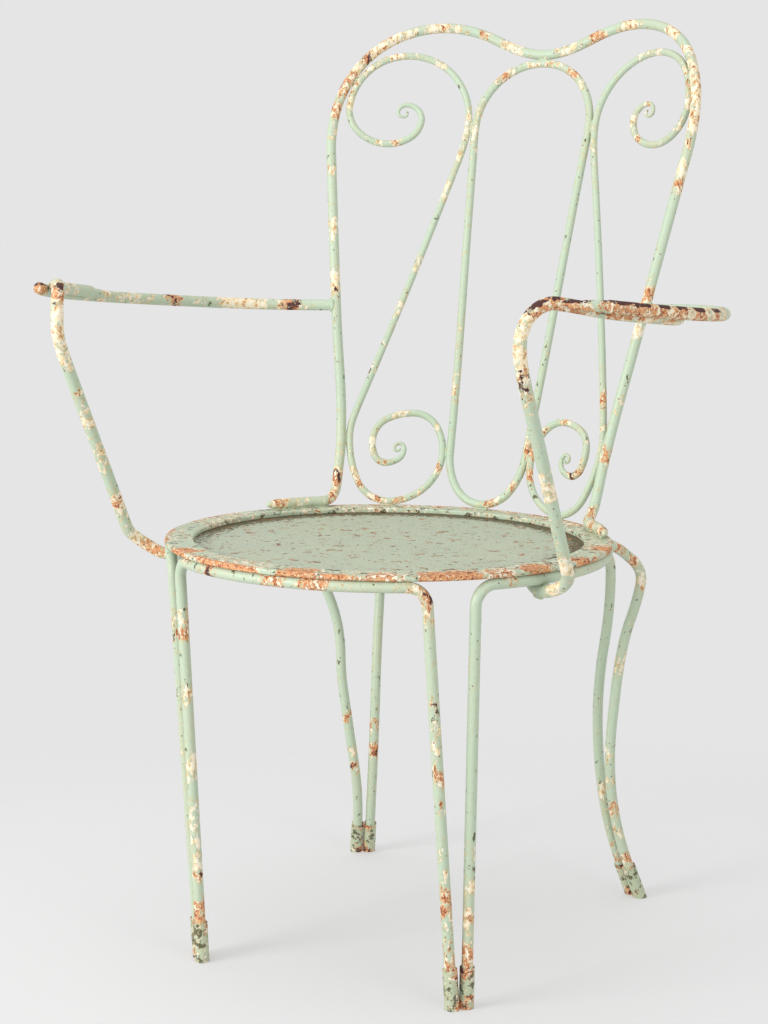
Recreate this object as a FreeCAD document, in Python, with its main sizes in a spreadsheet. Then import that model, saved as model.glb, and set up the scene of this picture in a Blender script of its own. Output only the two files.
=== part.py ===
import FreeCAD
import Part
import Sketcher
import math
import os

# Garden armchair of bent and welded round bar, in millimetres.
# +Z is up, the chair faces -Y, and +X is the side of the sitter's left arm. Everything is laid
# out from the axis of the round seat at floor level. At the end all of it is moved together, so
# that the origin lies on the floor under the middle of the whole chair.

doc = FreeCAD.newDocument("garden_armchair")
sheet = doc.addObject("Spreadsheet::Sheet", "sizes")

SIZES = [
    ("seat_height", 390, "top of the seat rim above the floor"),
    ("rim_radius", 205, "outer radius of the flat seat rim"),
    ("rim_width", 26, "width of the flat rim strip"),
    ("rim_thickness", 5, "thickness of the rim strip"),
    ("rim_rounding", 1.6, "rounding of the rim's worn edges"),
    ("panel_thickness", 1.5, "thickness of the sheet in the seat"),
    ("panel_lap", 11, "how far the sheet runs under the rim"),
    ("weld_gap", 0.25, "hairline left between two bars that lie side by side"),
    ("leg_bar", 10, "diameter of the bar of the legs and seat hoops"),
    ("corner_bend", 18, "bend radius where a hoop turns down into a front leg"),
    ("left_front_leg_angle", 31.2, "front hairpin: plan angle from the front to its left leg"),
    ("right_front_leg_angle", 35.3, "front hairpin: plan angle from the front to its right leg"),
    ("side_leg_angle", 53.6, "side hairpin: plan angle from the front to where it turns down"),
    ("side_exit_angle", 53, "side hairpin: plan angle from the back to where it leaves the rim"),
    ("back_exit_angle", 20, "back hairpin: plan angle from the back to where it leaves the rim"),
    ("front_foot_radius", 175, "front foot pair: distance from the seat axis"),
    ("front_foot_angle", 48.9, "front foot pair: plan angle from the front"),
    ("back_foot_radius", 298, "back foot pair: distance from the seat axis"),
    ("back_foot_angle", 31.6, "back foot pair: plan angle from the back"),
    ("back_foot_slant", 24, "lean of the back feet away from the seat"),
    ("side_shoulder_radius", 253, "side hairpin: how far its back leg's shoulder stands out"),
    ("side_shoulder_height", 334, "height of that shoulder"),
    ("side_shoulder_angle", 45.5, "plan angle of that shoulder from the back"),
    ("side_knee_radius", 249, "side hairpin: distance of the bar from the axis below the shoulder"),
    ("side_knee_height", 264, "height of that place"),
    ("side_knee_angle", 39.2, "plan angle of that place from the back"),
    ("side_waist_radius", 244, "side hairpin: distance of the back leg's waist from the axis"),
    ("side_waist_angle", 37.6, "plan angle of that waist from the back"),
    ("back_shoulder_radius", 268, "back hairpin: how far its shoulders stand out"),
    ("back_shoulder_height", 334, "height of those shoulders"),
    ("back_shoulder_angle", 28.3, "plan angle of those shoulders from the back"),
    ("back_waist_radius", 251, "back hairpin: distance of its waists from the axis"),
    ("back_waist_angle", 29.6, "plan angle of those waists from the back"),
    ("waist_height", 190, "height of the waists of all back legs"),
    ("turn_out_radius", 216, "distance from the axis at which a back leg turns outwards"),
    ("turn_out_drop", 4, "how far it has dropped there"),
    ("sleeve_length", 38, "length of the foot sleeves"),
    ("sleeve_wall", 1.4, "wall of the foot sleeves"),
    ("sleeve_clearance", 0.2, "gap all round between a bar and its sleeve"),
    ("sole_thickness", 2.5, "closed bottom of a sleeve under the bar's end"),
    ("frame_bar", 10, "diameter of the bar of the back frame"),
    ("loop_bar", 8, "diameter of the bar of the middle loop"),
    ("scroll_bar", 7, "diameter of the bar of the scrolls"),
    ("back_offset", 205.7, "how far behind the seat axis the back starts"),
    ("back_lean", 16.6, "lean of the back from the upright"),
    ("back_curve_low", 187.4, "plan radius of the back at the seat"),
    ("back_curve_top", 302, "plan radius of the back at its top"),
    ("base_pull", 5, "how far the foot of the back is drawn in onto the rim"),
    ("base_pull_height", 90, "height over which it is drawn in"),
    ("frame_run_radius", 197, "back frame: radius of the ends that lie along the rim"),
    ("frame_end_angle", 60, "plan angle from the back to where their full bar ends"),
    ("frame_nose", 16, "length of the rounded nose drawn out from each of those ends"),
    ("frame_turn_angle", 47, "plan angle from the back to where an end starts to rise"),
    ("frame_foot_half", 139.5, "half width of the frame just above that bend"),
    ("frame_foot_rise", 22, "height of that place above the rim"),
    ("frame_low_half", 143, "half width of the frame at the lower scroll welds"),
    ("frame_wide_half", 194.7, "largest half width of the frame"),
    ("frame_wide_rise", 383, "height of that place above the rim"),
    ("upright_end_rise", 354, "height above the rim to which the uprights are straight"),
    ("upright_end_inset", 2.2, "how much narrower the frame is there, each side"),
    ("hump_rise", 479.4, "height of the frame's two humps above the rim"),
    ("hump_half", 106.8, "distance of each hump from the middle"),
    ("dip_depth", 28, "depth of the dip between the humps"),
    ("dip_turn_half", 52, "distance from the middle to where the curve reverses"),
    ("dip_turn_drop", 13.5, "how far below the humps that is"),
    ("dip_turn_slope", 26, "slope of the bar there"),
    ("loop_low_half", 41, "half width of the loop at its lower welds"),
    ("loop_wide_half", 62.4, "largest half width of the loop"),
    ("loop_straight_half", 60.2, "half width of the loop where its sides start to bend"),
    ("loop_straight_rise", 342, "height of that place above the rim"),
    ("upper_weld_rise", 379, "height of the scroll and loop weld near the top"),
    ("loop_weld_rise", 51, "height of the scroll and loop weld near the seat"),
    ("frame_weld_rise", 66, "height of the scroll and frame weld near the seat"),
    ("upper_coil_gap", 5, "gap between the upper coil and the frame"),
    ("upper_coil_lift", 16, "height of the upper coil's widest place above the frame's"),
    ("upper_coil_drop", 29, "upper coil: distance of its top below the humps"),
    ("upper_coil_top_step", 30.2, "distance of that top from the hump, outwards"),
    ("upper_inner_pitch", 39, "height from the widest place down to the inner turn"),
    ("upper_inner_inset", 39, "distance from the widest place in to the inner turn's bottom"),
    ("upper_curl_inset", 67, "distance from the widest place in to the inner turn's side"),
    ("upper_curl_rise", 24, "height of that side above the inner turn's bottom"),
    ("upper_curl_width", 23, "width of the small curl at the scroll's upper end"),
    ("upper_curl_height", 16, "height of that curl above the inner turn's side"),
    ("shank_top_rise", 345, "height at which the straight shank of a scroll starts"),
    ("shank_top_offset", 4.5, "sideways step from the loop weld to that start"),
    ("shank_end_rise", 106, "height at which the straight shank ends"),
    ("shank_end_offset", 4.8, "sideways step from there to the frame weld"),
    ("lower_inner_rise", 90, "lower coil: top of its inner turn above the rim"),
    ("lower_inner_step", 20, "lower coil: spacing of its two turns at the side"),
    ("lower_inner_bottom", 41, "lower coil: bottom of its inner turn above the rim"),
    ("lower_curl_step", 30, "distance from the inner turn's side to the small curl"),
    ("lower_curl_rise", 12, "height of the curl's side above the inner turn's bottom"),
    ("lower_curl_width", 9.5, "width of the small curl at the scroll's lower end"),
    ("lower_curl_height", 7, "height of that curl above its side"),
    ("upper_curl_radius", 7, "bend radius of the upper curl's first quarter turn"),
    ("upper_curl_tightening", 1.7, "loss of bend radius with each quarter turn after it"),
    ("lower_curl_radius", 4.2, "bend radius of the lower curl's first quarter turn"),
    ("lower_curl_tightening", 1, "loss of bend radius with each quarter turn after it"),
    ("curl_tip_bar", 2.4, "diameter that the forged curls thin down to at their tips"),
    ("arm_bar", 11, "diameter of the bar of the armrests"),
    ("arm_bow_radius", 304, "plan radius of the armrest's long bow"),
    ("arm_bow_forward", 19, "how far in front of the seat axis that radius is centred"),
    ("left_tip_angle", 26.6, "plan angle of the left armrest's tip in front of the side"),
    ("right_tip_angle", 31, "plan angle of the right armrest's tip in front of the side"),
    ("arm_knee_angle", 28, "plan angle behind the side where the bow turns in to the back"),
    ("left_tip_height", 617.5, "height of the left armrest's tip"),
    ("right_tip_height", 616, "height of the right armrest's tip"),
    ("left_side_height", 605.7, "height of the left armrest at the side"),
    ("right_side_height", 601, "height of the right armrest at the side"),
    ("left_knee_height", 599, "height of the left armrest where it turns in"),
    ("right_knee_height", 590, "height of the right armrest where it turns in"),
    ("left_weld_rise", 204, "height above the rim at which the left armrest meets the back"),
    ("right_weld_rise", 197, "height above the rim at which the right armrest meets the back"),
    ("support_bar", 11, "diameter of the bar of the arm supports"),
    ("hook_inset", 20, "support's end under the seat: its distance inside the rim's edge"),
    ("hook_angle", 22.5, "plan angle of that hook in front of the side"),
    ("hook_reach", 25, "how far outside the rim's edge the hook rises"),
    ("hook_out_height", 381, "height of that place"),
    ("support_half", 218.5, "distance of the support's straight part from the middle"),
    ("support_low_forward", 104, "support: its straight part starts this far in front of the axis"),
    ("support_low_height", 397, "height of that place"),
    ("support_high_forward", 196, "support: its straight part ends this far in front of the axis"),
    ("support_high_height", 553, "height of that place"),
    ("support_front", 209, "how far the support's bend stands in front of the axis"),
    ("support_front_height", 588, "height of that furthest place"),
    ("support_top_inset", 16.7, "how far inside the armrest's bow the support levels out"),
    ("support_top_angle", 34.1, "plan angle of that place in front of the side"),
    ("support_top_height", 620, "height of that place"),
    ("left_lap_start", 21.5, "plan angle in front of the side where the left support joins"),
    ("right_lap_start", 25, "plan angle in front of the side where the right support joins"),
    ("lap_end_angle", 7.5, "plan angle in front of the side where the supports' full bar ends"),
    ("lap_nose", 13, "length of the ground nose beyond that end"),
    ("left_lap_roll", -25, "how far the left support sits up from the bow's inner side"),
    ("right_lap_roll", 18, "how far the right support sits up from the bow's inner side"),
]

for row, (name, value, meaning) in enumerate(SIZES, start=1):
    sheet.set("A%d" % row, meaning)
    sheet.set("B%d" % row, str(value))
    sheet.setAlias("B%d" % row, name)
doc.recompute()


def size(name):
    return float(sheet.get(name))


def vec(x, y, z):
    return FreeCAD.Vector(x, y, z)


def unit(v):
    return v * (1.0 / v.Length)


def flip(v):
    return vec(-v.x, v.y, v.z)


def polar(radius, degrees, height):
    """A point by its distance from the seat axis and its plan angle from +X towards +Y."""
    turn = math.radians(degrees)
    return vec(radius * math.cos(turn), radius * math.sin(turn), height)


def around(degrees):
    """The level direction along a circle about the seat axis, towards growing angles."""
    turn = math.radians(degrees)
    return vec(-math.sin(turn), math.cos(turn), 0)


# Paths: every bar follows straight lines and arcs that join without a kink.

def arc_or_line(start, heading, end):
    """The arc that leaves start along heading and ends at end, or the line if it is straight."""
    chord = end - start
    along = unit(chord)
    side = heading - along * heading.dot(along)
    if side.Length < 1e-5:
        return Part.LineSegment(start, end).toShape()
    angle = math.atan2(side.Length, heading.dot(along))
    middle = start + chord * 0.5 + unit(side) * (chord.Length / 2 * math.tan(angle / 2))
    return Part.Arc(start, middle, end).toShape()


def two_arcs(start, heading, end, arrival):
    """Two arcs in space from start to end with the headings given at both ends."""
    gap = end - start
    both = heading + arrival
    spread = 2 * (1 - heading.dot(arrival))
    reach = gap.dot(both)
    if spread < 1e-9:
        step = gap.dot(gap) / (2 * reach)
    else:
        step = (math.sqrt(reach * reach + spread * gap.dot(gap)) - reach) / spread
    middle = (start + end + (heading - arrival) * step) * 0.5
    through = unit(end - arrival * step - start - heading * step)
    return [arc_or_line(start, heading, middle), arc_or_line(middle, through, end)]


def between(before, place, after):
    """The heading at a place of a smooth curve through its two neighbours."""
    behind = place - before
    ahead = after - place
    return behind * (1 / behind.Length ** 2) + ahead * (1 / ahead.Length ** 2)


def smooth_wire(stations):
    """A wire through (point, heading) stations. A heading of None follows the neighbours."""
    points = [p for p, h in stations]
    headings = []
    for i, (p, h) in enumerate(stations):
        headings.append(unit(h or between(points[i - 1], p, points[i + 1])))
    edges = []
    for i in range(len(points) - 1):
        edges += two_arcs(points[i], headings[i], points[i + 1], headings[i + 1])
    return Part.Wire(edges)


def rounded_corner(start, heading, end, radius):
    """A run from start along heading that turns with the given radius towards end.
    Returns the turn's corner, its first point, its last point and the heading after it."""
    corner = start
    reach = 0.0
    for again in range(60):
        corner = start + heading * reach
        onward = unit(end - corner)
        turn = heading.getAngle(onward)
        reach = radius * math.tan(turn / 2)
    return corner, corner - heading * reach, corner + onward * reach, onward


def bar(label, stations, diameter_name, thin_name=None):
    """A round bar along the stations: a path, a circle at its start and a sweep.
    With thin_name it thins down evenly to that diameter at its other end."""
    path = doc.addObject("Part::Feature", label + "_path")
    path.Shape = smooth_wire(stations)
    section = doc.addObject("Part::Circle", label + "_section")
    section.setExpression("Radius", "sizes." + diameter_name + " / 2")
    section.Placement = FreeCAD.Placement(
        stations[0][0], FreeCAD.Rotation(vec(0, 0, 1), stations[0][1]))
    sweep = doc.addObject("Part::Sweep", label + "_bar")
    sweep.Sections = [section]
    if thin_name:
        thin = doc.addObject("Part::Circle", label + "_tip")
        thin.setExpression("Radius", "sizes." + thin_name + " / 2")
        thin.Placement = FreeCAD.Placement(
            stations[-1][0], FreeCAD.Rotation(vec(0, 0, 1), stations[-1][1]))
        sweep.Sections = [section, thin]
    sweep.Spine = (path, [])
    sweep.Solid = True
    sweep.Frenet = False
    return sweep


def rounded_end(label, sweep, point, diameter_name, outwards=None, length_name=None):
    """The sweep with a dome on the end that lies at point, or a longer nose along outwards."""
    dome = doc.addObject("Part::Ellipsoid", label + "_dome")
    dome.setExpression("Radius1", "sizes." + (length_name or diameter_name + " / 2"))
    dome.setExpression("Radius2", "sizes." + diameter_name + " / 2")
    dome.setExpression("Radius3", "sizes." + diameter_name + " / 2")
    dome.Placement = FreeCAD.Placement(
        point, FreeCAD.Rotation(vec(0, 0, 1), outwards or vec(0, 0, 1)))
    joined = doc.addObject("Part::Fuse", label + "_domed")
    joined.Base = sweep
    joined.Tool = dome
    return joined


def mirrored(label, source):
    """The same piece on the other side of the chair."""
    other = doc.addObject("Part::Mirroring", label)
    other.Source = source
    other.Base = vec(0, 0, 0)
    other.Normal = vec(1, 0, 0)
    return other


def origin_plane(body, role):
    for feature in body.Origin.OriginFeatures:
        if feature.Role == role:
            return feature


pieces = []


def keep(label, piece):
    piece.Label = label
    pieces.append(piece)
    return piece


# Seat: a flat rim with rounded edges, and a thin sheet under it.

rim = doc.addObject("PartDesign::Body", "rim_body")
rim_sketch = rim.newObject("Sketcher::SketchObject", "rim_section")
rim_sketch.AttachmentSupport = [(origin_plane(rim, "XZ_Plane"), "")]
rim_sketch.MapMode = "FlatFace"
inner = size("rim_radius") - size("rim_width")
low = size("seat_height") - size("rim_thickness")
corners = [(inner, low), (size("rim_radius"), low),
           (size("rim_radius"), size("seat_height")), (inner, size("seat_height"))]
for i in range(4):
    a, b = corners[i], corners[(i + 1) % 4]
    rim_sketch.addGeometry(Part.LineSegment(vec(a[0], a[1], 0), vec(b[0], b[1], 0)), False)
for i in range(4):
    rim_sketch.addConstraint(Sketcher.Constraint("Coincident", i, 2, (i + 1) % 4, 1))
rim_sketch.addConstraint(Sketcher.Constraint("Horizontal", 0))
rim_sketch.addConstraint(Sketcher.Constraint("Vertical", 1))
rim_sketch.addConstraint(Sketcher.Constraint("Horizontal", 2))
rim_sketch.addConstraint(Sketcher.Constraint("Vertical", 3))
outer_at = rim_sketch.addConstraint(
    Sketcher.Constraint("DistanceX", -1, 1, 1, 1, size("rim_radius")))
width_at = rim_sketch.addConstraint(
    Sketcher.Constraint("DistanceX", 0, 1, 0, 2, size("rim_width")))
top_at = rim_sketch.addConstraint(
    Sketcher.Constraint("DistanceY", -1, 1, 1, 2, size("seat_height")))
thick_at = rim_sketch.addConstraint(
    Sketcher.Constraint("DistanceY", 1, 1, 1, 2, size("rim_thickness")))
rim_sketch.setExpression("Constraints[%d]" % outer_at, "sizes.rim_radius")
rim_sketch.setExpression("Constraints[%d]" % width_at, "sizes.rim_width")
rim_sketch.setExpression("Constraints[%d]" % top_at, "sizes.seat_height")
rim_sketch.setExpression("Constraints[%d]" % thick_at, "sizes.rim_thickness")
rim_turn = rim.newObject("PartDesign::Revolution", "rim_ring")
rim_turn.Profile = rim_sketch
rim_turn.ReferenceAxis = (rim_sketch, ["V_Axis"])
rim_turn.Angle = 360
doc.recompute()
rim_edges = rim.newObject("PartDesign::Fillet", "rim_edges")
rim_edges.Base = (rim_turn, ["Edge%d" % (i + 1) for i, edge in enumerate(rim_turn.Shape.Edges)
                             if edge.Curve.TypeId == "Part::GeomCircle"])
rim_edges.setExpression("Radius", "min(sizes.rim_rounding; sizes.rim_thickness * 0.45)")
rim.Tip = rim_edges
keep("seat_rim", rim)

panel = doc.addObject("PartDesign::Body", "panel_body")
panel_sketch = panel.newObject("Sketcher::SketchObject", "panel_outline")
panel_sketch.AttachmentSupport = [(origin_plane(panel, "XY_Plane"), "")]
panel_sketch.MapMode = "FlatFace"
panel_sketch.setExpression(
    "AttachmentOffset.Base.z", "sizes.seat_height - sizes.rim_thickness - sizes.panel_thickness")
panel_sketch.addGeometry(Part.Circle(vec(0, 0, 0), vec(0, 0, 1), inner + size("panel_lap")), False)
panel_sketch.addConstraint(Sketcher.Constraint("Coincident", 0, 3, -1, 1))
panel_at = panel_sketch.addConstraint(
    Sketcher.Constraint("Radius", 0, inner + size("panel_lap")))
panel_sketch.setExpression(
    "Constraints[%d]" % panel_at, "sizes.rim_radius - sizes.rim_width + sizes.panel_lap")
panel_pad = panel.newObject("PartDesign::Pad", "panel_sheet")
panel_pad.Profile = panel_sketch
panel_pad.setExpression("Length", "sizes.panel_thickness")
keep("seat_panel", panel)

# Feet: two sleeves stand side by side at each of the four feet.

sleeve_outer = size("leg_bar") / 2 + size("sleeve_clearance") + size("sleeve_wall")
beside_foot = sleeve_outer + size("weld_gap") / 2
front_foot = polar(size("front_foot_radius"), -90 + size("front_foot_angle"), 0)
front_along = around(-90 + size("front_foot_angle"))
back_foot = polar(size("back_foot_radius"), 90 - size("back_foot_angle"), 0)
back_along = around(90 - size("back_foot_angle"))
back_out = unit(back_foot)
slant = math.radians(size("back_foot_slant"))
down_back = unit(back_out * math.sin(slant) - vec(0, 0, math.cos(slant)))

# Front and side hairpins lie under the rim, flush with its edge, and turn down into legs.

hoop_radius = size("rim_radius") - size("leg_bar") / 2
hoop_height = size("seat_height") - size("rim_thickness") - size("leg_bar") / 2 - size("weld_gap")


def front_leg(degrees, heading, foot):
    """Stations of the bend and straight leg that leave the hoop at the given angle."""
    leave = polar(hoop_radius, degrees, hoop_height)
    corner, first, last, onward = rounded_corner(leave, heading, foot, size("corner_bend"))
    return [(first, heading), (last, onward), (foot - onward * bar_end(onward), onward)], onward


def bar_end(onward):
    """How far short of the floor a bar stops, so that it stands on its sleeve's closed end."""
    tilt = math.hypot(onward.x, onward.y)
    return (size("sole_thickness") + size("leg_bar") / 2 * tilt) / -onward.z


def hoop_arc(from_degrees, to_degrees):
    """Stations along the hoop, with a middle one so that each span is a true arc."""
    middle = (from_degrees + to_degrees) / 2
    sign = 1 if to_degrees > from_degrees else -1
    return [(polar(hoop_radius, a, hoop_height), around(a) * sign)
            for a in (from_degrees, middle, to_degrees)]


front_foot_a = front_foot - front_along * beside_foot
front_foot_b = front_foot + front_along * beside_foot
back_foot_a = back_foot - back_along * beside_foot
back_foot_b = back_foot + back_along * beside_foot


def backwards(stations):
    return [(p, h * -1) for p, h in reversed(stations)]


def other_side(stations):
    return [(flip(p), flip(h)) for p, h in stations]


def level_in(place, following, degrees):
    """The heading towards the following place, without its part away from the seat axis."""
    step = following - place
    radial = polar(1, degrees, 0)
    return step - radial * step.dot(radial)


def back_leg(leave_degrees, heading, shoulder, knee, waist, foot):
    """Stations from the hoop out over the shoulder, in to the waist and down to the foot.
    The shoulder, the knee, if there is one, and the waist are (radius, plan angle, height)."""
    leave = polar(hoop_radius, leave_degrees, hoop_height)
    turn_degrees = (leave_degrees + shoulder[1]) / 2
    turn = polar(size("turn_out_radius"), turn_degrees, hoop_height - size("turn_out_drop"))
    out = polar(*shoulder)
    narrow = polar(*waist)
    sleeve_top = foot - down_back * size("sleeve_length")
    stations = [(leave, heading), (turn, between(leave, turn, out))]
    if knee:
        bent = polar(*knee)
        stations.append((out, level_in(out, bent, shoulder[1])))
        stations.append((bent, between(out, bent, narrow)))
    else:
        stations.append((out, level_in(out, narrow, shoulder[1])))
    stations.append((narrow, level_in(narrow, sleeve_top, waist[1])))
    stations.append((sleeve_top, down_back))
    stations.append((foot - down_back * bar_end(down_back), down_back))
    return stations


left_at = -90 + size("left_front_leg_angle")
right_at = -90 + size("right_front_leg_angle")
left_leg_stations, left_front_down = front_leg(left_at, around(left_at), front_foot_a)
right_leg_stations, right_front_down = front_leg(right_at, around(right_at), front_foot_a)
front_stations = backwards(other_side(right_leg_stations))
front_stations += hoop_arc(-180 - right_at, left_at)[1:2] + left_leg_stations
keep("hairpin_front", bar("hairpin_front", front_stations, "leg_bar"))

side_at = -90 + size("side_leg_angle")
exit_at = 90 - size("side_exit_angle")
side_leg_stations, side_down = front_leg(side_at, around(side_at) * -1, front_foot_b)
side_shoulder = (size("side_shoulder_radius"), 90 - size("side_shoulder_angle"),
                 size("side_shoulder_height"))
side_knee = (size("side_knee_radius"), 90 - size("side_knee_angle"), size("side_knee_height"))
side_waist = (size("side_waist_radius"), 90 - size("side_waist_angle"), size("waist_height"))
side_stations = backwards(side_leg_stations)
side_stations += hoop_arc(side_at, exit_at)[1:2]
side_stations += back_leg(exit_at, around(exit_at), side_shoulder, side_knee, side_waist,
                          back_foot_a)
hairpin_left = keep("hairpin_left", bar("hairpin_left", side_stations, "leg_bar"))
keep("hairpin_right", mirrored("hairpin_right", hairpin_left))

rear_at = 90 - size("back_exit_angle")
back_shoulder = (size("back_shoulder_radius"), 90 - size("back_shoulder_angle"),
                 size("back_shoulder_height"))
back_waist = (size("back_waist_radius"), 90 - size("back_waist_angle"), size("waist_height"))
rear_leg = back_leg(rear_at, around(rear_at) * -1, back_shoulder, None, back_waist, back_foot_b)
rear_stations = backwards(other_side(rear_leg))
rear_stations += hoop_arc(180 - rear_at, rear_at)[1:2] + rear_leg
keep("hairpin_back", bar("hairpin_back", rear_stations, "leg_bar"))


def sleeve(label, foot, down):
    """A closed tube on a bar's end, in line with the bar and cut level at the floor."""
    tilt = math.hypot(down.x, down.y) / -down.z
    below = (sleeve_outer * tilt + 1) / -down.z
    turn = FreeCAD.Rotation(vec(0, 0, 1), down * -1)
    tube = doc.addObject("Part::Cylinder", label + "_tube")
    tube.setExpression("Radius", "sizes.leg_bar / 2 + sizes.sleeve_clearance + sizes.sleeve_wall")
    tube.setExpression("Height", "sizes.sleeve_length + %.9f" % below)
    tube.Placement = FreeCAD.Placement(foot + down * below, turn)
    bore = doc.addObject("Part::Cylinder", label + "_bore")
    bore.setExpression("Radius", "sizes.leg_bar / 2 + sizes.sleeve_clearance")
    bore.setExpression("Height", "sizes.sleeve_length")
    bore.Placement = FreeCAD.Placement(foot - down * bar_end(down), turn)
    hollow = doc.addObject("Part::Cut", label + "_hollow")
    hollow.Base = tube
    hollow.Tool = bore
    above = doc.addObject("Part::Box", label + "_above_floor")
    above.setExpression("Length", "sizes.sleeve_length * 3")
    above.setExpression("Width", "sizes.sleeve_length * 3")
    above.setExpression("Height", "sizes.sleeve_length * 3")
    half = size("sleeve_length") * 1.5
    above.Placement = FreeCAD.Placement(vec(foot.x - half, foot.y - half, 0), FreeCAD.Rotation())
    level = doc.addObject("Part::Common", label)
    level.Base = hollow
    level.Tool = above
    return level


for place, foot, left_down, right_down in (
        ("front_a", front_foot_a, left_front_down, right_front_down),
        ("front_b", front_foot_b, side_down, side_down),
        ("back_a", back_foot_a, down_back, down_back),
        ("back_b", back_foot_b, down_back, down_back)):
    keep("sleeve_left_" + place, sleeve("sleeve_left_" + place, foot, left_down))
    opposite = sleeve("sleeve_opposite_" + place, foot, right_down)
    keep("sleeve_right_" + place, mirrored("sleeve_right_" + place, opposite))

# Back: all its bars lie in one leaning surface that is curved in plan like the seat's rim
# and flattens towards the top. A place on it is given by its distance from the middle and
# its rise above the rim's top.

lean = math.tan(math.radians(size("back_lean")))
curve_low = 1 / size("back_curve_low")
curve_gain = (1 / size("back_curve_top") - curve_low) / size("hump_rise")


def drawn_in(rise):
    """How far the foot of the back is drawn in at this rise, and how fast that changes."""
    left = max(0.0, 1 - rise / size("base_pull_height"))
    return size("base_pull") * left ** 2, -2 * size("base_pull") * left / size("base_pull_height")


def on_back(half, rise):
    pull, change = drawn_in(rise)
    depth = size("back_offset") + lean * rise - pull
    depth -= half * half * (curve_low + curve_gain * rise) / 2
    return vec(half, depth, size("seat_height") + rise)


def along_back(half, rise, sideways, upwards):
    """The direction in space of a step on the back's surface."""
    pull, change = drawn_in(rise)
    across = vec(1, -half * (curve_low + curve_gain * rise), 0)
    up = vec(0, lean - change - half * half * curve_gain / 2, 1)
    return unit(across * sideways + up * upwards)


def beside(half, rise, sideways, upwards, distance):
    """The place on the back at this distance to the right of a bar that passes the given
    place in the given direction. A negative distance lies to its left."""
    across = along_back(half, rise, 1, 0)
    up = along_back(half, rise, 0, 1)
    normal = across.cross(up)
    step = along_back(half, rise, sideways, upwards).cross(normal) * distance
    half_step = (step - up * (step.z / up.z)).dot(across) * across.x
    share = 1.0
    for again in range(5):
        reached = on_back(half + half_step * share, rise + step.z * share) - on_back(half, rise)
        share *= abs(distance) / reached.Length
    return half + half_step * share, rise + step.z * share


def back_station(half, rise, sideways, upwards):
    return on_back(half, rise), along_back(half, rise, sideways, upwards)


# Frame: each end lies along the rim, turns up, and its upright is straight up to the corner.

run_height = size("seat_height") + size("frame_bar") / 2 + size("weld_gap")
frame_tip = polar(size("frame_run_radius"), 90 - size("frame_end_angle"), run_height)
straight_half = size("frame_wide_half") - size("upright_end_inset")
straight_slope = ((straight_half - size("frame_low_half"))
                  / (size("upright_end_rise") - size("frame_weld_rise")))
foot_slope = ((size("frame_low_half") - size("frame_foot_half"))
              / (size("frame_weld_rise") - size("frame_foot_rise")))
low_slope = (foot_slope + straight_slope) / 2
dip_slope = math.tan(math.radians(size("dip_turn_slope")))


def upright_station(rise):
    half = size("frame_low_half") + straight_slope * (rise - size("frame_weld_rise"))
    return back_station(half, rise, straight_slope, 1)


run_middle = 90 - (size("frame_end_angle") + size("frame_turn_angle")) / 2
frame_half = [
    (frame_tip, around(90 - size("frame_end_angle"))),
    (polar(size("frame_run_radius"), run_middle, run_height), around(run_middle)),
    (polar(size("frame_run_radius"), 90 - size("frame_turn_angle"), run_height),
     around(90 - size("frame_turn_angle"))),
    back_station(size("frame_foot_half"), size("frame_foot_rise"), foot_slope, 1),
    back_station(size("frame_low_half"), size("frame_weld_rise"), low_slope, 1),
    upright_station((size("left_weld_rise") + size("right_weld_rise")) / 2),
    back_station(straight_half, size("upright_end_rise"), straight_slope, 1),
    back_station(size("frame_wide_half"), size("frame_wide_rise"), 0, 1),
    back_station(size("hump_half"), size("hump_rise"), -1, 0),
    back_station(size("dip_turn_half"), size("hump_rise") - size("dip_turn_drop"), -1, -dip_slope),
]
dip_rise = size("hump_rise") - size("dip_depth")
frame_stations = frame_half + [back_station(0, dip_rise, -1, 0)]
frame_stations += backwards(other_side(frame_half))
frame = bar("back_frame", frame_stations, "frame_bar")
nose_way = around(90 - size("frame_end_angle")) * -1
frame = rounded_end("back_frame_left", frame, frame_tip, "frame_bar", nose_way, "frame_nose")
keep("back_frame", rounded_end("back_frame_right", frame, flip(frame_tip), "frame_bar",
                               flip(nose_way), "frame_nose"))

# Loop: stands on the rim and hangs from the dip of the frame.

loop_slope = ((size("loop_straight_half") - size("loop_low_half"))
              / (size("loop_straight_rise") - size("loop_weld_rise")))
loop_reach = (size("frame_bar") + size("loop_bar")) / 2 + size("weld_gap")
loop_top_half, loop_top_rise = beside(0, dip_rise, 1, 0, loop_reach)
loop_base = size("loop_bar") / 2 + size("weld_gap")
loop_half = [
    back_station(size("loop_low_half"), size("loop_weld_rise"), loop_slope, 1),
    back_station(size("loop_straight_half"), size("loop_straight_rise"), loop_slope, 1),
    back_station(size("loop_wide_half"), size("upper_weld_rise"), 0, 1),
]
loop_stations = [back_station(0, loop_base, 1, 0)] + loop_half
loop_stations += [back_station(0, loop_top_rise, -1, 0)] + backwards(other_side(loop_half))
loop_stations += [back_station(0, loop_base, 1, 0)]
keep("back_loop", bar("back_loop", loop_stations, "loop_bar"))

# Scrolls: from the small curl at the top to the small curl at the seat.

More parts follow.
